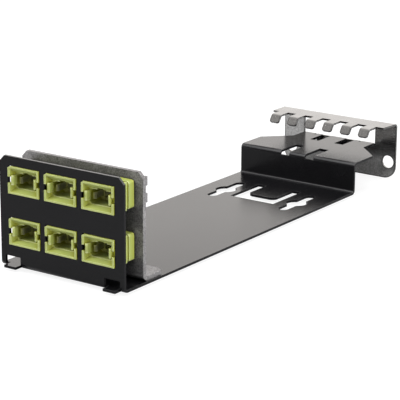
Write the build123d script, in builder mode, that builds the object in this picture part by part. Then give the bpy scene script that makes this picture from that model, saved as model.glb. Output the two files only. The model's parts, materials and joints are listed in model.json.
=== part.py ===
from build123d import *
from math import radians, tan
import os

# Fibre coupler module: a folded sheet tray whose front panel frames six multi-fibre
# couplers, a zinc-plated plate that carries the couplers behind that panel, and a
# stainless comb bracket on the tray's raised shelf that holds the cables.
# +X runs across the panel, +Y from the panel to the bracket, +Z up, all in mm.
# The origin is at the middle of the footprint, level with the bracket's lower edge.

# Folded tray
width = 66.5
sheet = 1.2
bend_inner = 1.0
panel_height = 49.2
panel_corner = 2.8
riser_setback = 184.3
shelf_height = 15.9
shoulder_length = 17.8
taper_length = 12.2
neck_width = 41.6
tray_above_ground = 1.4

# Latch windows at the panel's foot, each with a tongue of the floor in it
foot_window_width = 8.2
foot_window_height = 5.0
foot_window_offset = 26.8
tongue_width = 6.4
tongue_reach = 2.3

# Strap slots that cross the shelf's two bends
strap_slot_width = 5.2
strap_slot_offset = 7.1
strap_slot_drop = 2.2
front_slot_length = 14.9
rear_slot_length = 12.9

# Keyhole slots and snap tongue in the floor
keyhole_offset = 20.5
keyhole_width = 5.1
keyhole_length = 29.0
keyhole_end_gap = 17.3
keyhole_round_radius = 5.2
keyhole_round_gap = 32.1
snap_slot_width = 24.8
snap_slot_length = 25.0
snap_slot_end_gap = 15.3
snap_arm_width = 4.7
snap_front_gap = 8.2
snap_corner = 3.0
slot_corner = 0.6

# Flange under the shelf's rear edge
rear_flange_width = 25.6
rear_flange_drop = 8.9
bend_relief = 1.0
shelf_end_gap = 0.2

# Plate that carries the couplers
plate_setback = 13.95
plate_sheet = 2.0
plate_width = 65.0
plate_height = 47.2
plate_corner = 2.6
plate_foot = 14.8
foot_corner_x = 3.7
foot_corner_y = 2.3
plate_lug_reach = 1.1
plate_lug_width = 1.3
plate_lug_height = 4.0
plate_lug_pitch = 7.2
plate_lug_rise = 1.9

# Comb bracket
bracket_setback = 225.4
bracket_sheet = 1.0
bracket_height = 29.0
window_sill = 16.9
leg_clearance = 0.25
flange_length = 12.4
ear_hole = 6.5
ear_hole_offset = 28.9
ear_hole_height = 8.6
ear_corner = 6.5
finger_count = 6
finger_width = 5.5
finger_pitch = 10.46
finger_flat = 5.8
finger_slope = 3.6
finger_angle = 55.0
finger_tip_corner = 1.3
comb_shift = -0.8
flange_taper = 1.2

# Couplers
coupler_columns = 3
coupler_rows = 2
coupler_pitch_x = 19.85
coupler_pitch_z = 22.7
lower_row_height = 16.25
coupler_width = 16.8
coupler_height = 12.0
coupler_nose = 14.55
coupler_length = 22.4
collar_length = 4.2
groove_width = 1.3
groove_depth = 0.7
collar_corner = 1.2
seat_length = 0.6
seat_step = 0.5
tail_width = 13.2
tail_height = 10.2
rim_side = 1.0
rim_top = 0.7
dish_depth = 2.6
port_width = 12.2
port_height = 6.4
port_drop = 0.45
port_lower_corner = 1.1
port_upper_cut_x = 2.6
port_upper_cut_z = 0.8
key_width = 3.4
key_shift = -0.2
key_height = 1.0
key_step_width = 1.4
key_step_height = 0.45
rim_notch_height = 2.7
rim_notch_depth = 1.5
rim_notch_length = 2.7
rib_width = 1.4
rib_height = 4.2
port_land = 0.3
polarity_corner_x = 1.2
polarity_corner_z = 0.7
panel_clearance = 0.15
window_clearance = 0.2

# Latch inserts inside the couplers
insert_sheet = 1.6
insert_clearance = 0.05
ferrule_width = 7.0
ferrule_height = 3.4
hook_offset = 4.3
hook_thickness = 0.8
hook_height = 2.8
hook_nib = 0.6
hook_nib_length = 1.2
hook_inset = 3.4

# Spring clips on the couplers' tails
clip_sheet = 0.4
clip_length = 5.0
clip_clearance = 0.05
clip_wing = 1.1
clip_wing_height = 4.0
clip_open = 1.6

# Rivets
rivet_shank = 3.0
rivet_head = 5.4
rivet_head_height = 1.1
rivet_clearance = 0.05
rivet_tail = 4.4
rivet_tail_height = 0.8
plate_rivet_pitch = 40.0
plate_rivet_count = 2
bracket_rivet_pitch = 14.2
bracket_rivet_count = 2
bracket_rivet_drop = 5.6

# Places that follow from the sizes above
overshoot = 5.0
panel_y = (tongue_reach - bracket_setback - bracket_sheet - rivet_head_height) / 2
floor_z = tray_above_ground
floor_top = floor_z + sheet
riser_y = panel_y + riser_setback
shelf_z = floor_z + shelf_height
bracket_y = panel_y + bracket_setback
plate_y = panel_y + plate_setback
plate_rear = plate_y + plate_sheet
bend_outer = bend_inner + sheet
coupler_face = plate_y - coupler_nose
collar_start = plate_y - collar_length
neck_start = collar_start - groove_width
tail_end = coupler_face + coupler_length
insert_middle = coupler_face + coupler_length / 2
row_heights = [floor_z + lower_row_height + row * coupler_pitch_z for row in range(coupler_rows)]
column_places = [(column - (coupler_columns - 1) / 2) * coupler_pitch_x for column in range(coupler_columns)]


def upright(y, x=0.0, z=0.0):
    """A sketch plane that faces the front: local x is +X and local y is +Z."""
    return Plane(origin=(x, y, z), x_dir=(1, 0, 0), z_dir=(0, -1, 0))


def side_plane(x=0.0):
    """A sketch plane seen from the right: local x is +Y and local y is +Z."""
    return Plane(origin=(x, 0, 0), x_dir=(0, 1, 0), z_dir=(1, 0, 0))


def both_sides(value):
    """The two places of something that is mirrored about the middle."""
    return (-value, value)


def save(piece, name):
    """Label a finished piece and write it to its own file."""
    piece.label = name
    export_step(piece, f"parts/{name}.step")


os.makedirs("parts", exist_ok=True)


# Tray

shoulder_y = riser_y + shoulder_length
neck_y = shoulder_y + taper_length
shelf_end = bracket_y - shelf_end_gap
keyhole_rear = riser_y - keyhole_end_gap
snap_rear = riser_y - snap_slot_end_gap
snap_front = snap_rear - snap_slot_length
tongue_front = snap_front + snap_front_gap
shoulder_strip = (width - neck_width) / 2

with BuildSketch() as snap_tongue:
    with Locations((0, (tongue_front + snap_rear + overshoot) / 2)):
        Rectangle(snap_slot_width - 2 * snap_arm_width, snap_rear + overshoot - tongue_front)
    fillet(snap_tongue.vertices().group_by(Axis.Y)[0], snap_corner)

with BuildPart() as tray:
    # The whole width of the sheet, from the panel's top to the shelf's rear edge
    with BuildSketch(side_plane()):
        with BuildLine():
            FilletPolyline(
                (panel_y + sheet, floor_z + panel_height),
                (panel_y + sheet, floor_top),
                (riser_y, floor_top),
                (riser_y, shelf_z),
                (shelf_end, shelf_z),
                radius=[bend_inner, bend_inner, bend_outer],
            )
            offset(amount=sheet, side=Side.RIGHT)
        make_face()
    extrude(amount=width / 2, both=True)

    # The flange under the middle of the shelf's rear edge
    with BuildSketch(side_plane()):
        with BuildLine():
            FilletPolyline(
                (neck_y, shelf_z),
                (bracket_y, shelf_z),
                (bracket_y, shelf_z - rear_flange_drop),
                radius=bend_outer,
            )
            offset(amount=sheet, side=Side.RIGHT)
        make_face()
    extrude(amount=rear_flange_width / 2, both=True)

    # Reliefs at both ends of the flange's bend
    with BuildSketch(Plane.XY.offset(shelf_z)):
        for side in both_sides(rear_flange_width / 2 + bend_relief / 2):
            with Locations((side, shelf_end)):
                Rectangle(bend_relief, 2 * bend_outer)
    extrude(amount=-bend_outer, mode=Mode.SUBTRACT)

    # The shelf narrows in two tapers to the neck between the bracket's legs
    with BuildSketch(Plane.XY.offset(shelf_z + overshoot)):
        for side in (-1, 1):
            with BuildLine():
                Polyline(
                    (side * (width / 2 + overshoot), shoulder_y - overshoot * taper_length / shoulder_strip),
                    (side * neck_width / 2, neck_y),
                    (side * neck_width / 2, bracket_y + overshoot),
                    (side * (width / 2 + overshoot), bracket_y + overshoot),
                    close=True,
                )
            make_face()
    extrude(amount=-(overshoot + bend_outer), mode=Mode.SUBTRACT)

    # Strap slots through the shelf's front and rear bends
    with BuildSketch(Plane.XY.offset(shelf_z + overshoot)):
        for side in both_sides(strap_slot_offset):
            with Locations((side, riser_y + (front_slot_length - overshoot) / 2)):
                Rectangle(strap_slot_width, front_slot_length + overshoot)
            with Locations((side, bracket_y - (rear_slot_length - overshoot) / 2)):
                Rectangle(strap_slot_width, rear_slot_length + overshoot)
    extrude(amount=-(overshoot + strap_slot_drop), mode=Mode.SUBTRACT)

    # Openings in the panel for the couplers
    with BuildSketch(upright(panel_y - overshoot)):
        for row_z in row_heights:
            for column_x in column_places:
                with Locations((column_x, row_z)):
                    Rectangle(coupler_width + 2 * panel_clearance, coupler_height + 2 * panel_clearance)
    extrude(amount=-(2 * overshoot), mode=Mode.SUBTRACT)

    # Latch windows at the panel's foot, through the bend
    with BuildSketch(upright(panel_y - overshoot)):
        for side in both_sides(foot_window_offset):
            with Locations((side, floor_z + foot_window_height / 2 - overshoot / 2)):
                Rectangle(foot_window_width, foot_window_height + overshoot)
    extrude(amount=-(overshoot + bend_outer), mode=Mode.SUBTRACT)

    # A tongue of the floor runs forward through each latch window
    with BuildSketch(Plane.XY.offset(floor_z)):
        for side in both_sides(foot_window_offset):
            with Locations((side, panel_y + (bend_outer - tongue_reach) / 2)):
                Rectangle(tongue_width, bend_outer + tongue_reach)
    extrude(amount=sheet)

    # Keyhole slots: a long narrow slot with a round entry in the middle
    with BuildSketch(Plane.XY.offset(floor_z)):
        for side in both_sides(keyhole_offset):
            with Locations((side, keyhole_rear - keyhole_length / 2)):
                SlotOverall(keyhole_length, keyhole_width, rotation=90)
            with Locations((side, riser_y - keyhole_round_gap)):
                Circle(keyhole_round_radius)
    extrude(amount=sheet, mode=Mode.SUBTRACT)

    # A three-sided slot frees the snap tongue
    with BuildSketch(Plane.XY.offset(floor_z)):
        with Locations((0, (snap_front + snap_rear) / 2)):
            RectangleRounded(snap_slot_width, snap_slot_length, slot_corner)
        add(snap_tongue.sketch, mode=Mode.SUBTRACT)
    extrude(amount=sheet, mode=Mode.SUBTRACT)

    # Cut corners at the panel's top
    panel_tops = tray.edges().filter_by(Axis.Y).group_by(Axis.Z)[-1].sort_by(Axis.X)
    chamfer([panel_tops[0], panel_tops[-1]], panel_corner)

    # Holes for the rivets of the coupler plate
    plate_rivet_y = plate_rear + (plate_foot - plate_sheet) / 2
    with Locations(Plane(origin=(0, plate_rivet_y, floor_top))):
        with GridLocations(plate_rivet_pitch, 1, plate_rivet_count, 1):
            Hole(rivet_shank / 2, depth=sheet)

    # Holes for the rivets of the comb bracket
    bracket_rivet_z = shelf_z - bracket_rivet_drop
    with Locations(upright(bracket_y - sheet, 0, bracket_rivet_z)):
        with GridLocations(bracket_rivet_pitch, 1, bracket_rivet_count, 1):
            Hole(rivet_shank / 2, depth=sheet)

save(tray.part, "tray")


# Coupler plate

with BuildPart() as coupler_plate:
    with BuildSketch(side_plane()):
        with BuildLine():
            FilletPolyline(
                (plate_y, floor_top + plate_height),
                (plate_y, floor_top),
                (plate_y + plate_foot, floor_top),
                radius=bend_inner + plate_sheet,
            )
            offset(amount=plate_sheet, side=Side.LEFT)
        make_face()
    extrude(amount=plate_width / 2, both=True)

    # Cut corners at the top and at the rear of the foot
    plate_tops = coupler_plate.edges().filter_by(Axis.Y).group_by(Axis.Z)[-1].sort_by(Axis.X)
    chamfer([plate_tops[0], plate_tops[-1]], plate_corner)
    with BuildSketch(Plane.XY.offset(floor_top)):
        for side in (-1, 1):
            with BuildLine():
                Polyline(
                    (side * plate_width / 2, plate_y + plate_foot - foot_corner_y),
                    (side * plate_width / 2, plate_y + plate_foot),
                    (side * (plate_width / 2 - foot_corner_x), plate_y + plate_foot),
                    close=True,
                )
            make_face()
    extrude(amount=plate_sheet, mode=Mode.SUBTRACT)

    # Windows that take the couplers' tails
    with BuildSketch(upright(plate_y)):
        for row_z in row_heights:
            for column_x in column_places:
                with Locations((column_x, row_z)):
                    Rectangle(tail_width + 2 * window_clearance, tail_height + 2 * window_clearance)
    extrude(amount=-plate_sheet, mode=Mode.SUBTRACT)

    # Small lugs on the rear of both side edges
    lug_z = row_heights[-1] + plate_lug_rise
    with BuildSketch(upright(plate_rear)):
        for side in both_sides((plate_width - plate_lug_width) / 2):
            for rise in both_sides(plate_lug_pitch / 2):
                with Locations((side, lug_z + rise)):
                    Rectangle(plate_lug_width, plate_lug_height)
    extrude(amount=-plate_lug_reach)

    with Locations(Plane(origin=(0, plate_rivet_y, floor_top + plate_sheet))):
        with GridLocations(plate_rivet_pitch, 1, plate_rivet_count, 1):
            Hole(rivet_shank / 2, depth=plate_sheet)

save(coupler_plate.part, "coupler_plate")


# Comb bracket

bracket_rear = bracket_y + bracket_sheet
flange_front = bracket_rear - flange_length
comb_bend = bend_inner + bracket_sheet
leg_inner = neck_width / 2 + leg_clearance
bend_reach = comb_bend * tan(radians(finger_angle / 2))
finger_corner = flange_front - finger_flat - bend_reach
finger_drop = Vector(-1, 0).rotate(Axis.Z, finger_angle) * (finger_slope + bend_reach)

with BuildPart() as finger:
    # Flat, then folded down at the tip, whose corners are rounded
    with BuildSketch(side_plane()):
        with BuildLine():
            FilletPolyline(
                (flange_front + bracket_sheet, bracket_height),
                (finger_corner, bracket_height),
                (finger_corner + finger_drop.X, bracket_height + finger_drop.Y),
                radius=comb_bend,
            )
            offset(amount=bracket_sheet, side=Side.LEFT)
        make_face()
    extrude(amount=finger_width / 2, both=True)
    tip_edges = finger.faces().sort_by(Axis.Y)[0].edges()
    fillet(tip_edges.sort_by(SortBy.LENGTH)[:2], finger_tip_corner)

with BuildPart() as comb_bracket:
    # The back plate and the flange that folds forward over the shelf
    with BuildSketch(side_plane()):
        with BuildLine():
            FilletPolyline(
                (bracket_rear, 0),
                (bracket_rear, bracket_height),
                (flange_front, bracket_height),
                radius=comb_bend,
            )
            offset(amount=bracket_sheet, side=Side.LEFT)
        make_face()
    extrude(amount=width / 2, both=True)

    # The row of fingers, with notches for the cables between them
    with Locations((comb_shift, 0)):
        with GridLocations(finger_pitch, 1, finger_count, 1):
            add(finger.part)

    # The open window between the two legs also cuts the flange's bend there
    with BuildSketch(upright(bracket_rear)):
        with Locations((0, (window_sill + bracket_height + overshoot) / 2)):
            Rectangle(2 * leg_inner, bracket_height + overshoot - window_sill)
    extrude(amount=comb_bend, mode=Mode.SUBTRACT)

    # The flange's right end narrows towards the front
    with BuildSketch(Plane.XY.offset(bracket_height)):
        with BuildLine():
            Polyline(
                (width / 2, bracket_rear - comb_bend),
                (width / 2 - flange_taper, flange_front),
                (width / 2, flange_front),
                close=True,
            )
        make_face()
    extrude(amount=-bracket_sheet, mode=Mode.SUBTRACT)

    # Ears: rounded lower corners and a screw hole each
    ear_edges = comb_bracket.edges().filter_by(Axis.Y).group_by(Axis.Z)[0].sort_by(Axis.X)
    fillet([ear_edges[0], ear_edges[-1]], ear_corner)
    with Locations(upright(bracket_y, 0, ear_hole_height)):
        with GridLocations(2 * ear_hole_offset, 1, 2, 1):
            Hole(ear_hole / 2, depth=bracket_sheet)
    with Locations(upright(bracket_y, 0, bracket_rivet_z)):
        with GridLocations(bracket_rivet_pitch, 1, bracket_rivet_count, 1):
            Hole(rivet_shank / 2, depth=bracket_sheet)

save(comb_bracket.part, "comb_bracket")


# Coupler pieces

rib_middle = (coupler_width - rib_width) / 2 - rim_notch_depth
port_top = port_height / 2 - port_drop

with BuildSketch() as port_bore:
    # A wide slot with cut corners, and a key with a small step at its top
    with Locations((0, -port_drop)):
        Rectangle(port_width, port_height)
    chamfer(port_bore.vertices().group_by(Axis.Y)[0], port_lower_corner)
    with BuildLine():
        Polyline(
            (-port_width / 2, port_top - port_upper_cut_z),
            (-port_width / 2, port_top),
            (-port_width / 2 + port_upper_cut_x, port_top),
            close=True,
        )
    make_face(mode=Mode.SUBTRACT)
    with Locations((key_shift, port_top)):
        Rectangle(key_width, 2 * key_height)
    with Locations((key_shift + (key_width + key_step_width) / 2, port_top)):
        Rectangle(key_step_width, 2 * key_step_height)

with BuildSketch() as insert_outline:
    add(port_bore.sketch)
    offset(amount=-insert_clearance, kind=Kind.INTERSECTION, mode=Mode.REPLACE)
    with Locations((0, -port_drop)):
        Rectangle(ferrule_width, ferrule_height, mode=Mode.SUBTRACT)


def make_front(x, z):
    """The front half: a frame with a sloping dish round its port, and a narrower neck."""
    with BuildPart() as front:
        with BuildSketch(upright(coupler_face, x, z)):
            Rectangle(coupler_width, coupler_height)
            with BuildLine():
                Polyline(
                    (-coupler_width / 2, coupler_height / 2 - polarity_corner_z),
                    (-coupler_width / 2, coupler_height / 2),
                    (-coupler_width / 2 + polarity_corner_x, coupler_height / 2),
                    close=True,
                )
            make_face(mode=Mode.SUBTRACT)
        extrude(amount=-(neck_start - coupler_face))
        with BuildSketch(upright(neck_start, x, z)):
            Rectangle(coupler_width - 2 * groove_depth, coupler_height - 2 * groove_depth)
        extrude(amount=-groove_width)

        # The dish slopes in from the rim to a narrow land round the port
        with BuildSketch(upright(coupler_face, x, z)):
            Rectangle(coupler_width - 2 * rim_side, coupler_height - 2 * rim_top)
        with BuildSketch(upright(coupler_face + dish_depth, x, z - port_drop)):
            Rectangle(port_width + 2 * port_land, port_height + 2 * port_land)
        loft(mode=Mode.SUBTRACT)

        # The port, and a notch in the middle of the rim on each side
        with BuildSketch(upright(coupler_face, x, z)):
            add(port_bore.sketch)
        extrude(amount=-(collar_start - coupler_face), mode=Mode.SUBTRACT)
        with BuildSketch(upright(coupler_face, x, z)):
            for side in both_sides((coupler_width - rim_notch_depth) / 2):
                with Locations((side, 0)):
                    Rectangle(rim_notch_depth, rim_notch_height)
        extrude(amount=-rim_notch_length, mode=Mode.SUBTRACT)

        # A half-round rib behind each notch narrows the port's mouth
        with BuildSketch(Plane.XY.offset(z)):
            for side in both_sides(rib_middle):
                with Locations((x + side, coupler_face + rib_width / 2)):
                    Circle(rib_width / 2)
                with Locations((x + side, coupler_face + (rib_width / 2 + rim_notch_length) / 2)):
                    Rectangle(rib_width, rim_notch_length - rib_width / 2)
        extrude(amount=rib_height / 2, both=True)
    return front.part


def make_rear(x, z):
    """The rear half: a collar that seats on the plate, and a tail through its window."""
    with BuildPart() as rear:
        with BuildSketch(upright(collar_start, x, z)):
            RectangleRounded(coupler_width, coupler_height, collar_corner)
        extrude(amount=-(collar_length - seat_length))
        with BuildSketch(upright(plate_y - seat_length, x, z)):
            Rectangle(coupler_width - 2 * seat_step, coupler_height - 2 * seat_step)
        extrude(amount=-seat_length)
        with BuildSketch(upright(plate_y, x, z)):
            Rectangle(tail_width, tail_height)
        extrude(amount=-(tail_end - plate_y))
        with BuildSketch(upright(collar_start, x, z)):
            add(port_bore.sketch)
        extrude(amount=-(tail_end - collar_start), mode=Mode.SUBTRACT)
    return rear.part


def make_latch(x, z, direction):
    """A latch insert: a frame at the coupler's middle, and two hooks that reach to one port."""
    port_end = coupler_face if direction < 0 else tail_end
    root = insert_middle + direction * insert_sheet
    tip = port_end - direction * hook_inset
    barb = tip - direction * hook_nib
    step = tip - direction * hook_nib_length
    outer = hook_offset + hook_thickness / 2
    inner = hook_offset - hook_thickness / 2
    with BuildPart() as latch:
        with BuildSketch(upright(insert_middle, x, z)):
            add(insert_outline.sketch)
        extrude(amount=-direction * insert_sheet)
        with BuildSketch(Plane.XY.offset(z - port_drop)):
            for side in (-1, 1):
                with BuildLine():
                    Polyline(
                        (x + side * outer, root),
                        (x + side * outer, tip),
                        (x + side * inner, tip),
                        (x + side * (inner - hook_nib), barb),
                        (x + side * (inner - hook_nib), step),
                        (x + side * inner, step),
                        (x + side * inner, root),
                        close=True,
                    )
                make_face()
        extrude(amount=hook_height / 2, both=True)
    return latch.part


def make_clip(x, z):
    """A spring clip: a strip over the tail's top and sides, with wings against the plate."""
    inner_width = tail_width + 2 * clip_clearance
    inner_height = tail_height + 2 * clip_clearance
    strip_width = inner_width + 2 * clip_sheet
    with BuildPart() as clip:
        with BuildSketch(upright(plate_rear, x, z)):
            with Locations((0, clip_sheet / 2)):
                Rectangle(strip_width, inner_height + clip_sheet)
            Rectangle(inner_width, inner_height, mode=Mode.SUBTRACT)
            with Locations((0, -inner_height / 2)):
                Rectangle(strip_width, 2 * clip_open, mode=Mode.SUBTRACT)
        extrude(amount=-clip_length)
        with BuildSketch(upright(plate_rear, x, z)):
            for side in both_sides((inner_width + clip_sheet + clip_wing) / 2):
                with Locations((side, 0)):
                    Rectangle(clip_sheet + clip_wing, clip_wing_height)
        extrude(amount=-clip_sheet)
    return clip.part


coupler_places = [(column_x, row_z) for row_z in reversed(row_heights) for column_x in column_places]
for place, (column_x, row_z) in enumerate(coupler_places):
    coupler = f"coupler_{place + 1}"
    save(make_front(column_x, row_z), f"{coupler}_front")
    save(make_rear(column_x, row_z), f"{coupler}_rear")
    save(make_latch(column_x, row_z, -1), f"{coupler}_latch_front")
    save(make_latch(column_x, row_z, 1), f"{coupler}_latch_rear")
    save(make_clip(column_x, row_z), f"{coupler}_clip")


# Rivets

shank_radius = rivet_shank / 2 - rivet_clearance


def make_rivet(tail):
    """A rivet along Z: a flat head above z = 0, and a tail of the given points below it."""
    head = [
        (shank_radius, 0),
        (rivet_head / 2, 0),
        (rivet_head / 2, rivet_head_height),
        (0, rivet_head_height),
    ]
    with BuildPart() as rivet:
        with BuildSketch(Plane.XZ):
            with BuildLine():
                Polyline(*tail, *head, close=True)
            make_face()
        revolve(axis=Axis.Z)
    return rivet.part


plate_grip = plate_sheet + sheet
flush_tail = [(0, -plate_grip), (shank_radius, -plate_grip)]
plate_rivet = make_rivet(flush_tail)
with BuildPart() as plate_rivets:
    with Locations(Plane(origin=(0, plate_rivet_y, floor_top + plate_sheet))):
        with GridLocations(plate_rivet_pitch, 1, plate_rivet_count, 1):
            add(plate_rivet)
save(plate_rivets.part, "plate_rivets")

bracket_grip = bracket_sheet + sheet
flat_tail = [
    (0, -bracket_grip - rivet_tail_height),
    (rivet_tail / 2, -bracket_grip - rivet_tail_height),
    (rivet_tail / 2, -bracket_grip),
    (shank_radius, -bracket_grip),
]
bracket_rivet = make_rivet(flat_tail)
with BuildPart() as bracket_rivets:
    with Locations(Plane(origin=(0, bracket_rear, bracket_rivet_z), x_dir=(1, 0, 0), z_dir=(0, 1, 0))):
        with GridLocations(bracket_rivet_pitch, 1, bracket_rivet_count, 1):
            add(bracket_rivet)
save(bracket_rivets.part, "bracket_rivets")
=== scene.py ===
"""Looks of the fibre optic coupler module: its finishes, soft edges, studio and camera."""

import json
import logging
import math
from abc import ABC, abstractmethod
from dataclasses import dataclass, field
from enum import Enum
from typing import Any

import bpy
from mathutils import Matrix, Vector

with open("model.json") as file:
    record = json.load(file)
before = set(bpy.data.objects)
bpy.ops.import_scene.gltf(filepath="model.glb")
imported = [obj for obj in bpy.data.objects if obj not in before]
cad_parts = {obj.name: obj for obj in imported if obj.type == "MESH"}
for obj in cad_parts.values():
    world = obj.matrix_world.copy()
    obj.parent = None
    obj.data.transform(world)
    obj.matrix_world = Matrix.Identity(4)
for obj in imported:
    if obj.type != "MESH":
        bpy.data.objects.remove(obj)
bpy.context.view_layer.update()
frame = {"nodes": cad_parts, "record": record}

MM = 0.001
IMAGE_SIZE = 400
log = logging.getLogger("coupler_module")

Colour = tuple[float, float, float]
Place = tuple[float, float, float]
Direction = tuple[float, float, float]
Span = tuple[float, float]


class Slot(Enum):
    """The record's material slots, one for each finish."""

    BLACK_PAINT = "black_paint"
    ZINC = "zinc"
    STAINLESS = "stainless"
    LIME_PLASTIC = "lime_plastic"
    LATCH_PLASTIC = "latch_plastic"
    SPRING_STEEL = "spring_steel"
    RIVET_STEEL = "rivet_steel"


class ShaderSheet:
    """A node tree with short calls that add and link its nodes."""

    # The Mix node's sockets for numbers and colours share their names, so these are their places:
    # the first value, the second value and the result
    NUMBER_SOCKETS = (2, 3, 0)
    COLOUR_SOCKETS = (6, 7, 2)

    def __init__(self, tree: bpy.types.NodeTree) -> None:
        """Keep the tree.

        Args:
            tree: The node tree of a material, a world or a group.
        """
        self.tree = tree

    def add(self, kind: str, values: dict[Any, Any] | None = None, **settings: Any) -> bpy.types.Node:
        """Add a node.

        Args:
            kind: The node's type without its ShaderNode prefix.
            values: Input name or number to a constant, or to another node's output to link.
            **settings: Properties of the node itself.

        Returns:
            The new node.
        """
        node = self.tree.nodes.new("ShaderNode" + kind)
        for name, value in settings.items():
            setattr(node, name, value)
        for name, value in (values or {}).items():
            self.feed(node.inputs[name], value)
        return node

    def feed(self, socket: bpy.types.NodeSocket, value: Any) -> None:
        """Set an input to a constant, or link an output to it.

        Args:
            socket: The input.
            value: A number, a tuple or an output socket.
        """
        if isinstance(value, bpy.types.NodeSocket):
            self.tree.links.new(value, socket)
        elif isinstance(value, tuple) and len(value) == 3 and len(socket.default_value) == 4:
            socket.default_value = (*value, 1.0)
        else:
            socket.default_value = value

    def mix(self, share: Any, first: Any, second: Any) -> bpy.types.NodeSocket:
        """Mix two numbers.

        Args:
            share: How much of the second number counts, from 0 to 1.
            first: A number or a number's output.
            second: A number or a number's output.

        Returns:
            The mixed number's output.
        """
        first_place, second_place, result = self.NUMBER_SOCKETS
        node = self.add("Mix", {"Factor": share, first_place: first, second_place: second})
        return node.outputs[result]

    def blend(self, share: Any, first: Any, second: Any) -> bpy.types.NodeSocket:
        """Mix two colours.

        Args:
            share: How much of the second colour shows, from 0 to 1.
            first: A colour or a colour output.
            second: A colour or a colour output.

        Returns:
            The mixed colour's output.
        """
        first_place, second_place, result = self.COLOUR_SOCKETS
        node = self.add("Mix", {"Factor": share, first_place: first, second_place: second}, data_type="RGBA")
        return node.outputs[result]

    def level(self, value: Any, start: Any, end: Any) -> bpy.types.NodeSocket:
        """Make a mask that is 0 at one level of a value and 1 at another.

        Args:
            value: The value's output.
            start: The level at which the mask is 0.
            end: The level at which the mask is 1.

        Returns:
            The mask's output.
        """
        return self.add("MapRange", {"Value": value, "From Min": start, "From Max": end}).outputs[0]

    def spread(self, mask: Any, low: float, high: float) -> bpy.types.NodeSocket:
        """Map a mask from 0..1 to a range.

        Args:
            mask: The mask's output.
            low: The result where the mask is 0.
            high: The result where the mask is 1.

        Returns:
            The mapped value's output.
        """
        return self.add("MapRange", {"Value": mask, "To Min": low, "To Max": high}).outputs[0]

    def number(self, operation: str, first: Any, second: Any) -> bpy.types.NodeSocket:
        """Work out a number from two others.

        Args:
            operation: The Math node's operation.
            first: A number or a number's output.
            second: A number or a number's output.

        Returns:
            The result's output.
        """
        return self.add("Math", {0: first, 1: second}, operation=operation).outputs[0]

    def vector(self, operation: str, first: Any, second: Any) -> bpy.types.NodeSocket:
        """Work out a vector, or the number of a dot product, from two vectors.

        Args:
            operation: The Vector Math node's operation.
            first: A vector or a vector's output.
            second: A vector or a vector's output.

        Returns:
            The result's output.
        """
        node = self.add("VectorMath", {0: first, 1: second}, operation=operation)
        return node.outputs["Value" if operation == "DOT_PRODUCT" else "Vector"]


class EffectGroup(ABC):
    """A shader node group with named inputs and outputs that several finishes share."""

    name: str
    sockets_in: dict[str, float]
    sockets_out: tuple[str, ...]

    def __init__(self) -> None:
        """Build the group's node tree once."""
        self.tree = bpy.data.node_groups.new(self.name, "ShaderNodeTree")
        for label, default in self.sockets_in.items():
            socket = self.tree.interface.new_socket(label, in_out="INPUT", socket_type="NodeSocketFloat")
            socket.default_value = default
        for label in self.sockets_out:
            self.tree.interface.new_socket(label, in_out="OUTPUT", socket_type="NodeSocketFloat")
        self.sheet = ShaderSheet(self.tree)
        self.given = self.tree.nodes.new("NodeGroupInput").outputs
        self.result = self.tree.nodes.new("NodeGroupOutput").inputs
        self.wire()

    @abstractmethod
    def wire(self) -> None:
        """Add the group's own nodes."""

    def own_space(self) -> bpy.types.NodeSocket:
        """Find the spot's place in the piece's own space."""
        return self.sheet.add("TexCoord").outputs["Object"]

    def send_noise(self, noise: bpy.types.Node) -> None:
        """Put out a noise as a height, and as a mask between the group's low and high.

        Args:
            noise: The noise node.
        """
        height = noise.outputs["Fac"]
        self.sheet.feed(self.result["height"], height)
        self.sheet.feed(self.result["mask"], self.sheet.level(height, self.given["low"], self.given["high"]))

    def place(self, sheet: ShaderSheet, **values: float) -> bpy.types.bpy_prop_collection:
        """Place the group in a material.

        Args:
            sheet: The material's node tree.
            **values: The group's inputs by name, with an underscore for each space.

        Returns:
            The placed group's outputs, by name.
        """
        node = sheet.tree.nodes.new("ShaderNodeGroup")
        node.node_tree = self.tree
        for name, value in values.items():
            node.inputs[name.replace("_", " ")].default_value = value
        return node.outputs


class GrainGroup(EffectGroup):
    """An even grain, such as powder coat's skin or a mould's texture."""

    name = "even_grain"
    sockets_in = {"grain per metre": 1000.0, "detail": 2.0, "low": 0.3, "high": 0.7}
    sockets_out = ("height", "mask")
    roughness = 0.55

    def wire(self) -> None:
        """Add even noise in the piece's own space."""
        self.send_noise(self.sheet.add("TexNoise", {
            "Vector": self.own_space(),
            "Scale": self.given["grain per metre"],
            "Detail": self.given["detail"],
            "Roughness": self.roughness,
        }))


class StreakGroup(EffectGroup):
    """Fine lines that run one way, such as brushing or rolling marks."""

    name = "rolling_streaks"
    sockets_in = {"along X": 30.0, "along Y": 2500.0, "along Z": 2500.0, "low": 0.3, "high": 0.7}
    sockets_out = ("height", "mask")
    detail = 3.0

    def wire(self) -> None:
        """Add noise that is stretched by a different scale along each axis."""
        scales = self.sheet.add("CombineXYZ", {axis: self.given["along " + axis] for axis in "XYZ"})
        stretched = self.sheet.vector("MULTIPLY", self.own_space(), scales.outputs["Vector"])
        self.send_noise(self.sheet.add("TexNoise", {
            "Vector": stretched,
            "Scale": 1.0,
            "Detail": self.detail,
        }))


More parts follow.
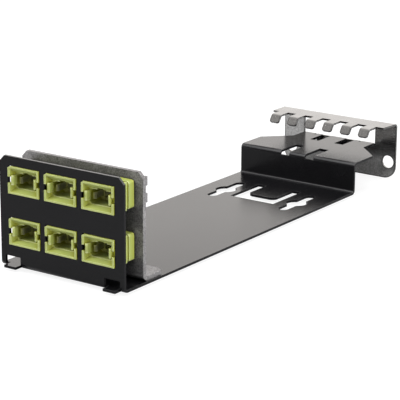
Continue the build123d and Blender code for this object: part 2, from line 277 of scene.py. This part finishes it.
class SpangleGroup(EffectGroup):
    """The patchy crystals of a zinc coat."""

    name = "zinc_spangle"
    sockets_in = {"crystals per metre": 400.0}
    sockets_out = ("mask",)
    bends_per_metre = 500.0
    bend_detail = 2.0
    bend_size = 1.6 * MM

    def wire(self) -> None:
        """Add cells whose borders are bent by noise, each with a level of its own."""
        here = self.own_space()
        noise = self.sheet.add("TexNoise", {
            "Vector": here,
            "Scale": self.bends_per_metre,
            "Detail": self.bend_detail,
        })
        bend = self.sheet.vector("MULTIPLY", noise.outputs["Color"], (self.bend_size,) * 3)
        cells = self.sheet.add("TexVoronoi", {
            "Vector": self.sheet.vector("ADD", here, bend),
            "Scale": self.given["crystals per metre"],
        })
        cell_level = self.sheet.add("SeparateColor", {"Color": cells.outputs["Color"]}).outputs["Red"]
        self.sheet.feed(self.result["mask"], cell_level)


class OcclusionShadeGroup(EffectGroup):
    """How far a spot lies open, from deep in a hollow to free, by ambient occlusion: the mask of the
    finishes' painted light and shade.
    """

    name = "painted_occlusion_shade"
    sockets_in = {"reach": 0.004, "deep": 0.2, "free": 0.9}
    sockets_out = ("mask",)
    samples = 12

    def wire(self) -> None:
        """Add ambient occlusion over a short reach, between two of its levels."""
        around = self.sheet.add("AmbientOcclusion", {"Distance": self.given["reach"]}, samples=self.samples)
        mask = self.sheet.level(around.outputs["AO"], self.given["deep"], self.given["free"])
        self.sheet.feed(self.result["mask"], mask)


class EdgeGroup(EffectGroup):
    """How near a spot lies to an edge, how far it faces sideways, and how far it lies on a bend: masks for
    painted highlights and shade.

    The last two go by the rise of the face's normal, which is 1 on a level face and 0 on an upright one.
    """

    name = "near_an_edge"
    sockets_in = {"reach": 0.0005, "flat": 0.995, "turned": 0.95}
    sockets_out = ("mask", "upright", "bend")
    samples = 6
    upright_rise = (0.75, 0.45)
    bend_rise_above_wall = (0.35, 0.65)
    bend_rise_below_level = (0.9, 0.72)

    def wire(self) -> None:
        """Compare the true normal with the mean normal around the spot, and with the vertical."""
        around = self.sheet.add("Bevel", {"Radius": self.given["reach"]}, samples=self.samples)
        true = self.sheet.add("NewGeometry").outputs["True Normal"]
        match = self.sheet.vector("DOT_PRODUCT", around.outputs["Normal"], true)
        rise = self.sheet.add("SeparateXYZ", {"Vector": true}).outputs["Z"]
        above_wall = self.sheet.level(rise, *self.bend_rise_above_wall)
        below_level = self.sheet.level(rise, *self.bend_rise_below_level)
        masks = {
            "mask": self.sheet.level(match, self.given["flat"], self.given["turned"]),
            "upright": self.sheet.level(rise, *self.upright_rise),
            "bend": self.sheet.number("MULTIPLY", above_wall, below_level),
        }
        for name, mask in masks.items():
            self.sheet.feed(self.result[name], mask)


@dataclass(frozen=True)
class Effects:
    """The shared node groups."""

    grain: GrainGroup
    streaks: StreakGroup
    spangle: SpangleGroup
    occlusion_shade: OcclusionShadeGroup
    edge: EdgeGroup


@dataclass(frozen=True, kw_only=True)
class Finish(ABC):
    """What every finish has: a name, a Principled shader and a bump."""

    name: str

    def start(self) -> tuple[bpy.types.Material, ShaderSheet, bpy.types.Node]:
        """Make the material with its shader.

        Returns:
            The material, its node tree and its Principled shader.
        """
        material = bpy.data.materials.new(self.name)
        material.use_nodes = True
        material.node_tree.nodes.clear()
        sheet = ShaderSheet(material.node_tree)
        shader = sheet.add("BsdfPrincipled")
        sheet.add("OutputMaterial", {"Surface": shader.outputs["BSDF"]})
        return material, sheet, shader

    def bump(self, sheet: ShaderSheet, height: Any, depth: float) -> bpy.types.NodeSocket:
        """Turn a height into a normal.

        Args:
            sheet: The material's node tree.
            height: The height's output, from 0 to 1.
            depth: The real depth of the relief in metres.

        Returns:
            The normal's output.
        """
        return sheet.add("Bump", {"Height": height, "Distance": depth, "Strength": 1.0}).outputs["Normal"]

    @abstractmethod
    def build(self, effects: Effects) -> bpy.types.Material:
        """Make the material.

        Args:
            effects: The shared node groups.

        Returns:
            The material.
        """


@dataclass(frozen=True, kw_only=True)
class PowderCoat(Finish):
    """Black powder coat: a smooth skin with a faint orange peel, glossy where it is seen at a low angle,
    with a painted highlight of lighter grey on the edges of level faces and on bends.
    """

    colour: Colour
    thin_colour: Colour
    # Painted highlight: the lighter grey of the edges of level faces and of the bends.
    painted_edge_shading: Colour
    roughness: Span
    ior: float
    coat: float
    coat_roughness: float
    coat_ior: float
    coat_facing: Span
    peel_per_metre: float
    peel_detail: float
    peel_depth: float
    clouds_per_metre: float
    cloud_detail: float
    edge_reach: float

    def build(self, effects: Effects) -> bpy.types.Material:
        """Make the material.

        Args:
            effects: The shared node groups.

        Returns:
            The material.
        """
        material, sheet, shader = self.start()
        peel = effects.grain.place(sheet, grain_per_metre=self.peel_per_metre, detail=self.peel_detail)
        cloud = effects.grain.place(sheet, grain_per_metre=self.clouds_per_metre, detail=self.cloud_detail)
        edge = effects.edge.place(sheet, reach=self.edge_reach)
        # Painted highlight: the edges of level faces, and the bends, take a lighter grey.
        level = sheet.number("SUBTRACT", 1.0, edge["upright"])
        painted_top_edge_highlight = sheet.number("MULTIPLY", edge["mask"], level)
        painted_edge_highlight = sheet.number("MAXIMUM", painted_top_edge_highlight, edge["bend"])
        colour = sheet.blend(cloud["mask"], self.colour, self.thin_colour)
        facing = sheet.add("LayerWeight", {"Blend": 0.5}).outputs["Facing"]
        skin = sheet.spread(sheet.level(facing, *self.coat_facing), 0.0, self.coat)
        sheet.feed(shader.inputs["Base Color"], sheet.blend(painted_edge_highlight, colour, self.painted_edge_shading))
        sheet.feed(shader.inputs["Roughness"], sheet.spread(cloud["mask"], *self.roughness))
        sheet.feed(shader.inputs["Normal"], self.bump(sheet, peel["height"], self.peel_depth))
        sheet.feed(shader.inputs["IOR"], self.ior)
        sheet.feed(shader.inputs["Coat Weight"], skin)
        sheet.feed(shader.inputs["Coat Roughness"], self.coat_roughness)
        sheet.feed(shader.inputs["Coat IOR"], self.coat_ior)
        return material


@dataclass(frozen=True, kw_only=True)
class ZincCoat(Finish):
    """Zinc-plated sheet: dull metal with patchy crystals and specks, with painted shade that darkens it
    where ambient occlusion finds it hidden.
    """

    dark: Colour
    light: Colour
    # Painted shade: the dark colour of spots that ambient occlusion finds hidden.
    painted_shade_colour: Colour
    roughness: Span
    metal: float
    crystals_per_metre: float
    clouds_per_metre: float
    cloud_detail: float
    cloud_levels: Span
    specks_per_metre: float
    speck_detail: float
    speck_levels: Span
    speck_share: float
    grain_per_metre: float
    grain_depth: float
    painted_shade_reach: float
    painted_shade_levels: Span

    def build(self, effects: Effects) -> bpy.types.Material:
        """Make the material.

        Args:
            effects: The shared node groups.

        Returns:
            The material.
        """
        material, sheet, shader = self.start()
        crystals = effects.spangle.place(sheet, crystals_per_metre=self.crystals_per_metre)
        low, high = self.cloud_levels
        cloud = effects.grain.place(sheet, grain_per_metre=self.clouds_per_metre, detail=self.cloud_detail,
                                    low=low, high=high)
        low, high = self.speck_levels
        specks = effects.grain.place(sheet, grain_per_metre=self.specks_per_metre, detail=self.speck_detail,
                                     low=low, high=high)
        grain = effects.grain.place(sheet, grain_per_metre=self.grain_per_metre)
        deep, free = self.painted_shade_levels
        seen = effects.occlusion_shade.place(sheet, reach=self.painted_shade_reach, deep=deep, free=free)
        patch = sheet.number("MULTIPLY", crystals["mask"], cloud["mask"])
        share = sheet.mix(self.speck_share, patch, specks["mask"])
        colour = sheet.blend(share, self.dark, self.light)
        # Painted shade: spots that ambient occlusion finds hidden turn dark.
        sheet.feed(shader.inputs["Base Color"], sheet.blend(seen["mask"], self.painted_shade_colour, colour))
        sheet.feed(shader.inputs["Roughness"], sheet.spread(cloud["mask"], *self.roughness))
        sheet.feed(shader.inputs["Normal"], self.bump(sheet, grain["height"], self.grain_depth))
        sheet.feed(shader.inputs["Metallic"], self.metal)
        return material


@dataclass(frozen=True, kw_only=True)
class BrightSteel(Finish):
    """Bright rolled steel: nearly a mirror, with fine lines along its length, speckled upright faces and
    painted shade on the edges of upright faces.
    """

    colour: Colour
    worn: Colour
    # Painted shade: the dark colour of the edges of upright faces, which the specks on upright faces share.
    painted_edge_shading: Colour
    roughness: Span
    metal: float
    line_depth: float
    lines_per_metre: tuple[float, float, float]
    clouds_per_metre: float = 90.0
    cloud_detail: float = 3.0
    specks_per_metre: float = 1600.0
    speck_detail: float = 3.0
    speck_levels: Span = (0.38, 0.62)
    speck_share: float = 0.35
    edge_reach: float = 1.1 * MM

    def build(self, effects: Effects) -> bpy.types.Material:
        """Make the material.

        Args:
            effects: The shared node groups.

        Returns:
            The material.
        """
        material, sheet, shader = self.start()
        along_x, along_y, along_z = self.lines_per_metre
        brushed = effects.streaks.place(sheet, along_X=along_x, along_Y=along_y, along_Z=along_z)
        cloud = effects.grain.place(sheet, grain_per_metre=self.clouds_per_metre, detail=self.cloud_detail)
        low, high = self.speck_levels
        specks = effects.grain.place(sheet, grain_per_metre=self.specks_per_metre, detail=self.speck_detail,
                                     low=low, high=high)
        edge = effects.edge.place(sheet, reach=self.edge_reach)
        # Painted shade: the edges of upright faces turn dark.
        painted_edge_shade = sheet.number("MULTIPLY", edge["mask"], edge["upright"])
        speckled = sheet.number("MULTIPLY", specks["mask"], edge["upright"])
        share = sheet.number("MULTIPLY", speckled, self.speck_share)
        clear = sheet.blend(cloud["mask"], self.colour, self.worn)
        colour = sheet.blend(share, clear, self.painted_edge_shading)
        sheet.feed(shader.inputs["Base Color"], sheet.blend(painted_edge_shade, colour, self.painted_edge_shading))
        sheet.feed(shader.inputs["Roughness"], sheet.spread(brushed["mask"], *self.roughness))
        sheet.feed(shader.inputs["Normal"], self.bump(sheet, brushed["height"], self.line_depth))
        sheet.feed(shader.inputs["Metallic"], self.metal)
        return material


@dataclass(frozen=True, kw_only=True)
class MouldedPlastic(Finish):
    """Satin moulded plastic that lets a little light in, with a painted highlight on its edges and painted
    light and shade where ambient occlusion finds it hidden.

    Bounced and mirrored rays see it paler, so that it doesn't tint the zinc plate beside it.
    """

    colour: Colour
    flow_colour: Colour
    # Painted light and shade: the colour of spots that ambient occlusion finds hidden.
    painted_cavity_colour: Colour
    # Painted highlight: the paler colour of edges.
    painted_edge_shading: Colour
    roughness: Span
    glow: float
    skin_per_metre: float = 4200.0
    skin_depth: float = 0.004 * MM
    flow_per_metre: float = 120.0
    painted_cavity_reach: float = 3.5 * MM
    painted_cavity_levels: Span = (0.35, 0.97)
    edge_reach: float = 0.45 * MM
    bounce_colour: Colour = (0.3, 0.3, 0.28)
    bounce_share: float = 0.75
    glow_reach: float = 0.6 * MM
    glow_by_colour: Colour = (1.0, 1.0, 0.3)

    def build(self, effects: Effects) -> bpy.types.Material:
        """Make the material.

        Args:
            effects: The shared node groups.

        Returns:
            The material.
        """
        material, sheet, shader = self.start()
        skin = effects.grain.place(sheet, grain_per_metre=self.skin_per_metre)
        flow = effects.grain.place(sheet, grain_per_metre=self.flow_per_metre)
        deep, free = self.painted_cavity_levels
        seen = effects.occlusion_shade.place(sheet, reach=self.painted_cavity_reach, deep=deep, free=free)
        edge = effects.edge.place(sheet, reach=self.edge_reach)
        colour = sheet.blend(flow["mask"], self.colour, self.flow_colour)
        # Painted highlight: edges turn paler. Painted light and shade: spots that ambient occlusion finds
        # hidden take a colour of their own.
        edge_highlighted = sheet.blend(edge["mask"], colour, self.painted_edge_shading)
        cavity_painted = sheet.blend(seen["mask"], self.painted_cavity_colour, edge_highlighted)
        path = sheet.add("LightPath").outputs
        bounced = sheet.number("MAXIMUM", path["Is Diffuse Ray"], path["Is Glossy Ray"])
        pale = sheet.number("MULTIPLY", bounced, self.bounce_share)
        sheet.feed(shader.inputs["Base Color"], sheet.blend(pale, cavity_painted, self.bounce_colour))
        sheet.feed(shader.inputs["Roughness"], sheet.spread(skin["mask"], *self.roughness))
        sheet.feed(shader.inputs["Normal"], self.bump(sheet, skin["height"], self.skin_depth))
        sheet.feed(shader.inputs["Subsurface Weight"], self.glow)
        sheet.feed(shader.inputs["Subsurface Radius"], self.glow_by_colour)
        sheet.feed(shader.inputs["Subsurface Scale"], self.glow_reach)
        return material


def make_finishes() -> dict[Slot, Finish]:
    """List the finish of each material slot.

    Returns:
        Slot to finish.
    """
    return {
        Slot.BLACK_PAINT: PowderCoat(
            name="black_powder_coat",
            colour=(0.0045, 0.0045, 0.0055),
            thin_colour=(0.007, 0.007, 0.008),
            # Painted highlight on edges and bends
            painted_edge_shading=(0.09, 0.09, 0.092),
            roughness=(0.2, 0.26),
            ior=1.3,
            coat=0.85,
            coat_roughness=0.2,
            coat_ior=1.5,
            coat_facing=(0.5, 0.71),
            peel_per_metre=900.0,
            peel_detail=1.0,
            peel_depth=0.004 * MM,
            clouds_per_metre=22.0,
            cloud_detail=3.0,
            edge_reach=0.7 * MM,
        ),
        Slot.ZINC: ZincCoat(
            name="zinc_coat",
            dark=(0.19, 0.184, 0.188),
            light=(0.56, 0.549, 0.555),
            # Painted shade where the plate lies hidden
            painted_shade_colour=(0.03, 0.03, 0.034),
            roughness=(0.36, 0.48),
            metal=0.62,
            crystals_per_metre=420.0,
            clouds_per_metre=160.0,
            cloud_detail=4.0,
            cloud_levels=(0.35, 0.65),
            specks_per_metre=1900.0,
            speck_detail=3.0,
            speck_levels=(0.36, 0.64),
            speck_share=0.65,
            grain_per_metre=3000.0,
            grain_depth=0.01 * MM,
            painted_shade_reach=14.0 * MM,
            painted_shade_levels=(0.25, 0.66),
        ),
        Slot.STAINLESS: BrightSteel(
            name="bright_stainless",
            colour=(0.575, 0.572, 0.566),
            worn=(0.5, 0.497, 0.492),
            # Painted shade on the edges of upright faces, also the colour of the specks
            painted_edge_shading=(0.03, 0.029, 0.028),
            roughness=(0.12, 0.24),
            metal=0.94,
            line_depth=0.003 * MM,
            lines_per_metre=(60.0, 3000.0, 3000.0),
        ),
        Slot.LIME_PLASTIC: MouldedPlastic(
            name="lime_plastic",
            colour=(0.46, 0.52, 0.145),
            flow_colour=(0.43, 0.5, 0.125),
            # Painted shade: a darker olive where the lime lies hidden
            painted_cavity_colour=(0.42, 0.435, 0.02),
            # Painted highlight on the lime's edges
            painted_edge_shading=(0.72, 0.78, 0.4),
            roughness=(0.34, 0.42),
            glow=0.04,
        ),
        Slot.LATCH_PLASTIC: MouldedPlastic(
            name="latch_plastic",
            colour=(0.115, 0.118, 0.042),
            flow_colour=(0.1, 0.103, 0.034),
            # Painted by ambient occlusion: a paler olive where the latches lie hidden
            painted_cavity_colour=(0.52, 0.53, 0.12),
            # Painted highlight on the latches' edges
            painted_edge_shading=(0.2, 0.205, 0.08),
            roughness=(0.4, 0.5),
            glow=0.02,
        ),
        Slot.SPRING_STEEL: BrightSteel(
            name="spring_steel",
            colour=(0.55, 0.54, 0.52),
            worn=(0.45, 0.44, 0.42),
            # Painted shade on the edges of upright faces, also the colour of the specks
            painted_edge_shading=(0.2, 0.2, 0.19),
            roughness=(0.2, 0.3),
            metal=1.0,
            line_depth=0.002 * MM,
            lines_per_metre=(3000.0, 60.0, 3000.0),
        ),
        Slot.RIVET_STEEL: BrightSteel(
            name="rivet_steel",
            colour=(0.5, 0.49, 0.47),
            worn=(0.4, 0.39, 0.37),
            # Painted shade on the edges of upright faces, also the colour of the specks
            painted_edge_shading=(0.2, 0.2, 0.19),
            roughness=(0.25, 0.4),
            metal=1.0,
            line_depth=0.002 * MM,
            lines_per_metre=(1500.0, 1500.0, 1500.0),
        ),
    }


@dataclass(frozen=True)
class SoftEdges:
    """How far the edges of a node's sheet or moulding are rounded."""

    radius_mm: float
    segments: int = 2
    sharp_deg: float = 30.0
    weld_mm: float = 0.002
    flat_deg: float = 0.3

    def apply(self, piece: bpy.types.Object) -> None:
        """Join the piece's flat faces, and round its sharp edges, with modifiers.

        Args:
            piece: The node's object.
        """
        weld = piece.modifiers.new("join", "WELD")
        weld.merge_threshold = self.weld_mm * MM
        flat = piece.modifiers.new("flat_faces", "DECIMATE")
        flat.decimate_type = "DISSOLVE"
        flat.angle_limit = math.radians(self.flat_deg)
        bevel = piece.modifiers.new("soft_edges", "BEVEL")
        bevel.limit_method = "ANGLE"
        bevel.angle_limit = math.radians(self.sharp_deg)
        bevel.width = self.radius_mm * MM
        bevel.segments = self.segments
        bevel.use_clamp_overlap = True
        bevel.harden_normals = True


@dataclass
class NodeDresser:
    """Gives a node of the frame its finish and its soft edges."""

    finishes: dict[Slot, Finish]
    effects: Effects
    materials: dict[Slot, bpy.types.Material] = field(init=False)
    slots: dict[str, Slot] = field(init=False)

    def __post_init__(self) -> None:
        """Build each finish once, and look up each node's slot."""
        self.materials = {slot: finish.build(self.effects) for slot, finish in self.finishes.items()}
        rows = frame["record"]["subparts"]
        self.slots = {row["node"]: Slot(row["material_slot"]) for row in rows}

    def dress(self, name: str, edges: SoftEdges) -> None:
        """Dress one node.

        Args:
            name: The node's name.
            edges: How its edges are rounded.
        """
        piece = frame["nodes"][name]
        material = self.materials[self.slots[name]]
        if not piece.material_slots:
            piece.data.materials.append(material)
        for material_slot in piece.material_slots:
            material_slot.material = material
        edges.apply(piece)
        log.info("dressed %s in %s", name, material.name)


@dataclass
class FoldedSheets:
    """The tray, the coupler plate and the comb bracket with their rivets."""

    tray_edge: SoftEdges
    plate_edge: SoftEdges
    bracket_edge: SoftEdges
    rivet_edge: SoftEdges

    def dress(self, dresser: NodeDresser) -> None:
        """Dress the folded sheets and the rivets.

        Args:
            dresser: What puts finishes on nodes.
        """
        dresser.dress("tray", self.tray_edge)
        dresser.dress("coupler_plate", self.plate_edge)
        dresser.dress("comb_bracket", self.bracket_edge)
        for name in ("plate_rivets", "bracket_rivets"):
            dresser.dress(name, self.rivet_edge)


@dataclass
class Couplers:
    """The six couplers, each of five pieces."""

    count: int
    housing_edge: SoftEdges
    latch_edge: SoftEdges
    clip_edge: SoftEdges

    def dress(self, dresser: NodeDresser) -> None:
        """Dress every coupler's pieces.

        Args:
            dresser: What puts finishes on nodes.
        """
        for number in range(1, self.count + 1):
            for half in ("front", "rear"):
                dresser.dress(f"coupler_{number}_{half}", self.housing_edge)
                dresser.dress(f"coupler_{number}_latch_{half}", self.latch_edge)
            dresser.dress(f"coupler_{number}_clip", self.clip_edge)


@dataclass(frozen=True, kw_only=True)
class PhotoCamera:
    """The camera at the photograph's place."""

    azimuth_deg: float
    elevation_deg: float
    roll_deg: float
    focal_pixels: float
    place_mm: Place
    sensor_mm: float = 36.0
    nearest: float = 0.01
    farthest: float = 20.0

    def build(self) -> None:
        """Make the camera and use it."""
        azimuth = math.radians(self.azimuth_deg)
        elevation = math.radians(self.elevation_deg)
        roll = math.radians(self.roll_deg)
        ahead = Vector((-math.sin(azimuth) * math.cos(elevation),
                        math.cos(azimuth) * math.cos(elevation),
                        -math.sin(elevation)))
        level = Vector((math.cos(azimuth), math.sin(azimuth), 0.0))
        above = level.cross(ahead)
        right = level * math.cos(roll) + above * math.sin(roll)
        up = above * math.cos(roll) - level * math.sin(roll)
        data = bpy.data.cameras.new("photo_camera")
        data.sensor_width = self.sensor_mm
        data.lens = self.focal_pixels * self.sensor_mm / IMAGE_SIZE
        data.clip_start = self.nearest
        data.clip_end = self.farthest
        camera = bpy.data.objects.new("photo_camera", data)
        turn = Matrix((right, up, -ahead)).transposed()
        camera.matrix_world = Matrix.Translation(Vector(self.place_mm) * MM) @ turn.to_4x4()
        bpy.context.scene.collection.objects.link(camera)
        bpy.context.scene.camera = camera


@dataclass(frozen=True, kw_only=True)
class Lamp:
    """One soft round lamp, which the metal doesn't mirror."""

    name: str
    place: Place
    width: float
    watts: float

    def build(self, aim: Place) -> None:
        """Make the lamp.

        Args:
            aim: The spot that it points at.
        """
        data = bpy.data.lights.new(self.name, "AREA")
        data.shape = "DISK"
        data.size = self.width
        data.energy = self.watts
        lamp = bpy.data.objects.new(self.name, data)
        lamp.location = self.place
        lamp.visible_glossy = False
        towards = Vector(aim) - Vector(self.place)
        lamp.rotation_euler = towards.to_track_quat("-Z", "Y").to_euler()
        bpy.context.scene.collection.objects.link(lamp)


@dataclass(frozen=True, kw_only=True)
class Table:
    """A white table that keeps the module's shadow."""

    colour: float
    seen_colour: float
    seen_light: float
    half: float = 3.0
    drop: float = 0.02 * MM

    def build(self) -> None:
        """Make the table's top, a hair under the module."""
        half = self.half
        mesh = bpy.data.meshes.new("table")
        corners = [(-half, -half, 0.0), (half, -half, 0.0), (half, half, 0.0), (-half, half, 0.0)]
        mesh.from_pydata(corners, [], [(0, 1, 2, 3)])
        mesh.materials.append(self.make_material())
        table = bpy.data.objects.new("table", mesh)
        table.location.z = -self.drop
        bpy.context.scene.collection.objects.link(table)

    def make_material(self) -> bpy.types.Material:
        """Make the table's finish, which is white to the eye and greyer in the light it throws back.

        Returns:
            The material.
        """
        material = bpy.data.materials.new("white_table")
        material.use_nodes = True
        material.node_tree.nodes.clear()
        sheet = ShaderSheet(material.node_tree)
        seen = sheet.add("LightPath").outputs["Is Camera Ray"]
        paper = sheet.add("BsdfDiffuse", {"Color": sheet.spread(seen, self.colour, self.seen_colour)})
        light = sheet.add("Emission", {
            "Color": (1.0, 1.0, 1.0),
            "Strength": sheet.spread(seen, 0.0, self.seen_light),
        })
        both = sheet.add("AddShader", {0: paper.outputs["BSDF"], 1: light.outputs["Emission"]})
        sheet.add("OutputMaterial", {"Surface": both.outputs["Shader"]})
        return material


@dataclass(frozen=True, kw_only=True)
class Backdrop:
    """A white backdrop with a soft fill, which mirrored rays see dimmer on one side."""

    fill: float
    dim_side: Direction
    dim_levels: Span
    dim_light: float
    mirrored_tint: Colour

    def build(self) -> None:
        """Make the world."""
        world = bpy.data.worlds.new("white_studio")
        world.use_nodes = True
        world.node_tree.nodes.clear()
        sheet = ShaderSheet(world.node_tree)
        path = sheet.add("LightPath").outputs
        direct = sheet.number("MAXIMUM", path["Is Camera Ray"], path["Is Glossy Ray"])
        seen = sheet.number("MAXIMUM", direct, path["Is Transmission Ray"])
        towards = sheet.add("TexCoord").outputs["Generated"]
        ahead = sheet.vector("DOT_PRODUCT", towards, self.dim_side)
        start, end = self.dim_levels
        dim = sheet.add("MapRange", {
            "Value": ahead,
            "From Min": start,
            "From Max": end,
            "To Min": 1.0,
            "To Max": self.dim_light,
        }, interpolation_type="SMOOTHSTEP").outputs[0]
        white = sheet.mix(path["Is Glossy Ray"], 1.0, dim)
        tint = sheet.blend(path["Is Glossy Ray"], (1.0, 1.0, 1.0), self.mirrored_tint)
        light = sheet.add("Background", {"Color": tint, "Strength": sheet.mix(seen, self.fill, white)})
        sheet.add("OutputWorld", {"Surface": light.outputs["Background"]})
        bpy.context.scene.world = world


@dataclass
class Studio:
    """The table and backdrop with their lamps, which are aimed at the module's middle."""

    backdrop: Backdrop
    table: Table
    lamps: tuple[Lamp, ...]
    aim: Place = (0.0, 0.0, 0.02)

    def build(self) -> None:
        """Make the backdrop, the table and the lamps."""
        self.backdrop.build()
        self.table.build()
        for lamp in self.lamps:
            lamp.build(self.aim)


def make_studio() -> Studio:
    """List what lights the module.

    Returns:
        The studio.
    """
    return Studio(
        backdrop=Backdrop(
            fill=0.3,
            dim_side=(-0.55, -0.53, 0.64),
            dim_levels=(0.25, 0.85),
            dim_light=0.4,
            mirrored_tint=(1.0, 0.965, 0.935),
        ),
        table=Table(colour=0.55, seen_colour=0.2, seen_light=0.88),
        lamps=(
            Lamp(name="key_left", place=(-1.1, -0.9, 0.9), width=0.5, watts=12.5),
            Lamp(name="top", place=(0.1, -0.2, 1.5), width=0.9, watts=15.0),
            Lamp(name="low_back", place=(-1.05, 1.5, 0.55), width=1.2, watts=7.0),
            Lamp(name="fill_right", place=(1.5, -0.25, 0.5), width=0.8, watts=15.0),
        ),
    )


def main() -> None:
    """Dress the module, and set up the studio and the camera."""
    logging.basicConfig(level=logging.INFO, format="%(name)s: %(message)s")
    effects = Effects(GrainGroup(), StreakGroup(), SpangleGroup(), OcclusionShadeGroup(), EdgeGroup())
    dresser = NodeDresser(make_finishes(), effects)
    sheets = FoldedSheets(
        tray_edge=SoftEdges(0.22),
        plate_edge=SoftEdges(0.12),
        bracket_edge=SoftEdges(0.1),
        rivet_edge=SoftEdges(0.08, segments=1),
    )
    sheets.dress(dresser)
    couplers = Couplers(
        count=6,
        housing_edge=SoftEdges(0.14),
        latch_edge=SoftEdges(0.08),
        clip_edge=SoftEdges(0.05, segments=1),
    )
    couplers.dress(dresser)
    make_studio().build()
    camera = PhotoCamera(
        azimuth_deg=35.123,
        elevation_deg=16.121,
        roll_deg=0.301,
        focal_pixels=1812.6,
        place_mm=(463.6, -670.9, 245.4),
    )
    camera.build()
    bpy.context.scene.view_settings.view_transform = "Standard"


if __name__ == "__main__":
    main()
